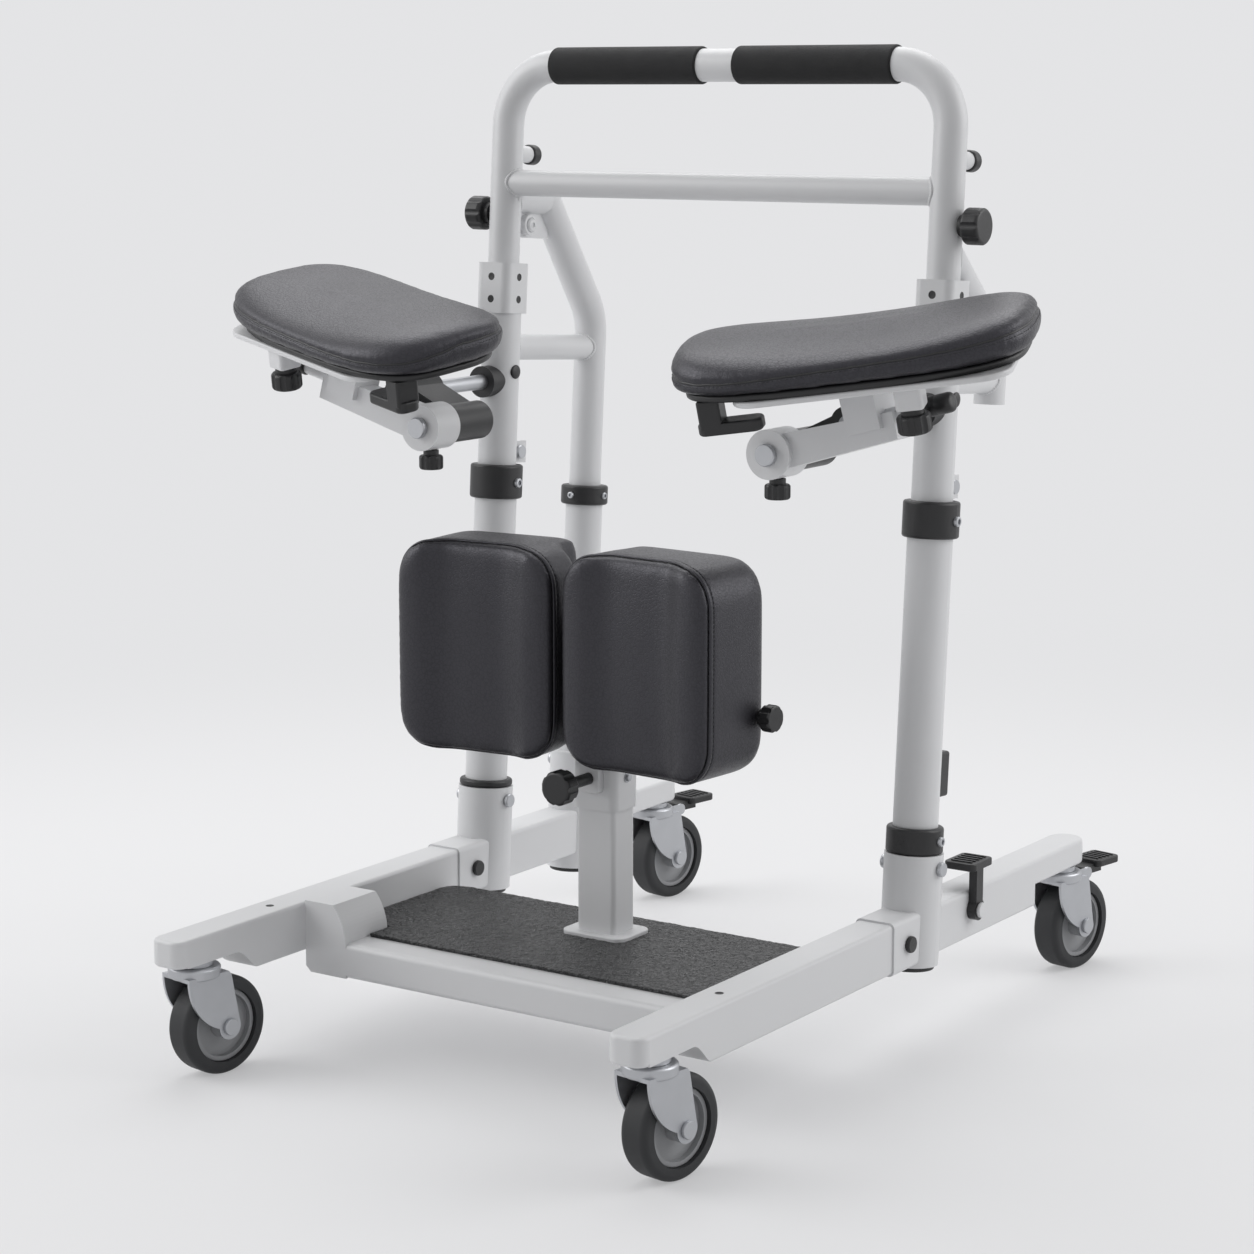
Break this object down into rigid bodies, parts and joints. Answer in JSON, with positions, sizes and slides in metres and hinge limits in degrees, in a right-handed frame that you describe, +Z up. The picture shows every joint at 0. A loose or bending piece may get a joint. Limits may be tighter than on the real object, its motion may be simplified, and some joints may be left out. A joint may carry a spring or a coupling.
{
  "type": "patient standing and transfer aid",
  "caption": "Manual standing and transfer aid: low wheeled base with foot plate, split knee pads, telescoping columns, fold-up padded arm rests and a gripped handle.",
  "frame": {"origin": "on the floor, under the centre of the bounding box", "axes": "+Z up; the user steps on from -Y and faces +Y; +X is the user's right hand"},
  "size_m": [0.9308, 0.9458, 1.0051],
  "materials": {
    "frame_paint": "satin powder coat, light silver grey",
    "zinc_steel": "bright zinc plate",
    "black_plastic": "fine-grained moulded black",
    "black_rubber": "pebbled matt",
    "foam_grip": "closed-cell foam sleeve",
    "pad_leather": "grained upholstery, soft sheen",
    "wheel_disc": "satin moulded grey",
    "wheel_tyre": "matt rubber tread"
  },
  "bodies": {
    "chassis": {"left_side_frame": "frame_paint", "right_side_frame": "frame_paint", "front_noses": "frame_paint", "footplate": "frame_paint", "foot_mat": "black_rubber", "knee_post": "frame_paint", "lower_tubes": "frame_paint", "clamp_collars": "black_plastic", "frame_bolts": "zinc_steel", "socket_caps": "black_plastic", "buffer_block": "black_rubber", "caster_stems": "zinc_steel"},
    "latch": {"latch_pedal": "black_plastic"},
    "upper_frame": {"upper_tubes": "frame_paint", "tube_sleeves": "frame_paint", "handle_bar": "frame_paint", "crossbar": "frame_paint", "grips": "foam_grip", "left_brace": "frame_paint", "right_brace": "frame_paint", "stub_caps": "black_plastic", "column_bolts": "zinc_steel", "support_rods": "zinc_steel", "bushes": "black_plastic", "pivot_blocks": "black_plastic"},
    "knee_carriage": {"knee_sleeve": "frame_paint", "knee_bracket": "frame_paint", "left_knee_pad": "pad_leather", "right_knee_pad": "pad_leather"},
    "plunger_pin": {"plunger": "black_plastic"},
    "left_arm_set": {"left_arm": "frame_paint", "left_tray": "frame_paint", "left_arm_pad": "pad_leather", "left_pad_lever": "black_plastic"},
    "left_handle_lock": {"left_handle_knob": "black_plastic"},
    "left_hub_lock": {"left_lock_knob": "black_plastic"},
    "left_tray_lock": {"left_tray_knob": "black_plastic"},
    "left_knee_lock": {"left_knee_knob": "black_plastic"},
    "right_arm_set": {"right_arm": "frame_paint", "right_tray": "frame_paint", "right_arm_pad": "pad_leather", "right_pad_lever": "black_plastic"},
    "right_handle_lock": {"right_handle_knob": "black_plastic"},
    "right_hub_lock": {"right_lock_knob": "black_plastic"},
    "right_tray_lock": {"right_tray_knob": "black_plastic"},
    "right_knee_lock": {"right_knee_knob": "black_plastic"},
    "fl_caster": {"fl_fork": "zinc_steel"},
    "fl_roller": {"fl_wheel": "wheel_disc", "fl_tyre": "wheel_tyre"},
    "fr_caster": {"fr_fork": "zinc_steel"},
    "fr_roller": {"fr_wheel": "wheel_disc", "fr_tyre": "wheel_tyre"},
    "rl_caster": {"rl_fork": "zinc_steel"},
    "rl_roller": {"rl_wheel": "wheel_disc", "rl_tyre": "wheel_tyre"},
    "rl_brake": {"rl_brake_pedal": "black_plastic"},
    "rr_caster": {"rr_fork": "zinc_steel"},
    "rr_roller": {"rr_wheel": "wheel_disc", "rr_tyre": "wheel_tyre"},
    "rr_brake": {"rr_brake_pedal": "black_plastic"}
  },
  "joints": [
    {"name": "column_slide", "type": "slide", "parent": "chassis", "child": "upper_frame", "axis": [0, 0.0698, 0.9976], "range_m": [0, 0.12]},
    {"name": "knee_slide", "type": "slide", "parent": "chassis", "child": "knee_carriage", "axis": [0, 0, 1], "range_m": [-0.018, 0.036]},
    {"name": "plunger_pull", "type": "slide", "parent": "knee_carriage", "child": "plunger_pin", "axis": [0, -1, 0], "range_m": [0, 0.008], "stiffness_N_per_m": 600},
    {"name": "latch_tilt", "type": "hinge", "parent": "chassis", "child": "latch", "pos_m": [0.294, 0.13811, 0.1284], "axis": [-1, 0, 0], "range_deg": [0, 20]},
    {"name": "left_arm_fold", "type": "hinge", "parent": "upper_frame", "child": "left_arm_set", "pos_m": [-0.208, -0.12089, 0.621], "axis": [0, 1, 0], "range_deg": [0, 70]},
    {"name": "left_handle_knob_turn", "type": "hinge", "parent": "upper_frame", "child": "left_handle_lock", "pos_m": [-0.299, 0.09308, 0.82898], "axis": [-1, 0, 0], "range_deg": [-180, 180]},
    {"name": "left_lock_knob_turn", "type": "hinge", "parent": "left_arm_set", "child": "left_hub_lock", "pos_m": [-0.208, -0.12089, 0.589], "axis": [0, 0, -1], "range_deg": [-180, 180]},
    {"name": "left_tray_knob_turn", "type": "hinge", "parent": "left_arm_set", "child": "left_tray_lock", "pos_m": [-0.37199, -0.15399, 0.66661], "axis": [-0.0767, 0.2075, -0.9752], "range_deg": [-180, 180]},
    {"name": "left_knee_knob_turn", "type": "hinge", "parent": "knee_carriage", "child": "left_knee_lock", "pos_m": [-0.2013, -0.1248, 0.364], "axis": [-0.9962, -0.0872, 0], "range_deg": [-180, 180]},
    {"name": "right_arm_fold", "type": "hinge", "parent": "upper_frame", "child": "right_arm_set", "pos_m": [0.208, -0.12089, 0.621], "axis": [0, -1, 0], "range_deg": [0, 70]},
    {"name": "right_handle_knob_turn", "type": "hinge", "parent": "upper_frame", "child": "right_handle_lock", "pos_m": [0.299, 0.09308, 0.82898], "axis": [1, 0, 0], "range_deg": [-180, 180]},
    {"name": "right_lock_knob_turn", "type": "hinge", "parent": "right_arm_set", "child": "right_hub_lock", "pos_m": [0.208, -0.12089, 0.589], "axis": [0, 0, -1], "range_deg": [-180, 180]},
    {"name": "right_tray_knob_turn", "type": "hinge", "parent": "right_arm_set", "child": "right_tray_lock", "pos_m": [0.37199, -0.15399, 0.66661], "axis": [0.0767, 0.2075, -0.9752], "range_deg": [-180, 180]},
    {"name": "right_knee_knob_turn", "type": "hinge", "parent": "knee_carriage", "child": "right_knee_lock", "pos_m": [0.2013, -0.1248, 0.364], "axis": [0.9962, -0.0872, 0], "range_deg": [-180, 180]},
    {"name": "fl_swivel", "type": "hinge", "parent": "chassis", "child": "fl_caster", "pos_m": [-0.269, -0.42989, 0.109], "axis": [0, 0, 1], "continuous": true},
    {"name": "fl_roll", "type": "hinge", "parent": "fl_caster", "child": "fl_roller", "pos_m": [-0.26449, -0.40428, 0.05], "axis": [0.9848, -0.1736, 0], "continuous": true},
    {"name": "fr_swivel", "type": "hinge", "parent": "chassis", "child": "fr_caster", "pos_m": [0.269, -0.42989, 0.109], "axis": [0, 0, 1], "continuous": true},
    {"name": "fr_roll", "type": "hinge", "parent": "fr_caster", "child": "fr_roller", "pos_m": [0.27352, -0.40428, 0.05], "axis": [0.9848, -0.1736, 0], "continuous": true},
    {"name": "rl_swivel", "type": "hinge", "parent": "chassis", "child": "rl_caster", "pos_m": [-0.269, 0.38011, 0.109], "axis": [0, 0, 1], "continuous": true},
    {"name": "rl_roll", "type": "hinge", "parent": "rl_caster", "child": "rl_roller", "pos_m": [-0.26449, 0.40572, 0.05], "axis": [0.9848, -0.1736, 0], "continuous": true},
    {"name": "rl_brake_press", "type": "hinge", "parent": "rl_caster", "child": "rl_brake", "pos_m": [-0.26275, 0.41556, 0.107], "axis": [-0.9848, 0.1736, 0], "range_deg": [0, 12]},
    {"name": "rr_swivel", "type": "hinge", "parent": "chassis", "child": "rr_caster", "pos_m": [0.269, 0.38011, 0.109], "axis": [0, 0, 1], "continuous": true},
    {"name": "rr_roll", "type": "hinge", "parent": "rr_caster", "child": "rr_roller", "pos_m": [0.27352, 0.40572, 0.05], "axis": [0.9848, -0.1736, 0], "continuous": true},
    {"name": "rr_brake_press", "type": "hinge", "parent": "rr_caster", "child": "rr_brake", "pos_m": [0.27525, 0.41556, 0.107], "axis": [-0.9848, 0.1736, 0], "range_deg": [0, 12]}
  ]
}
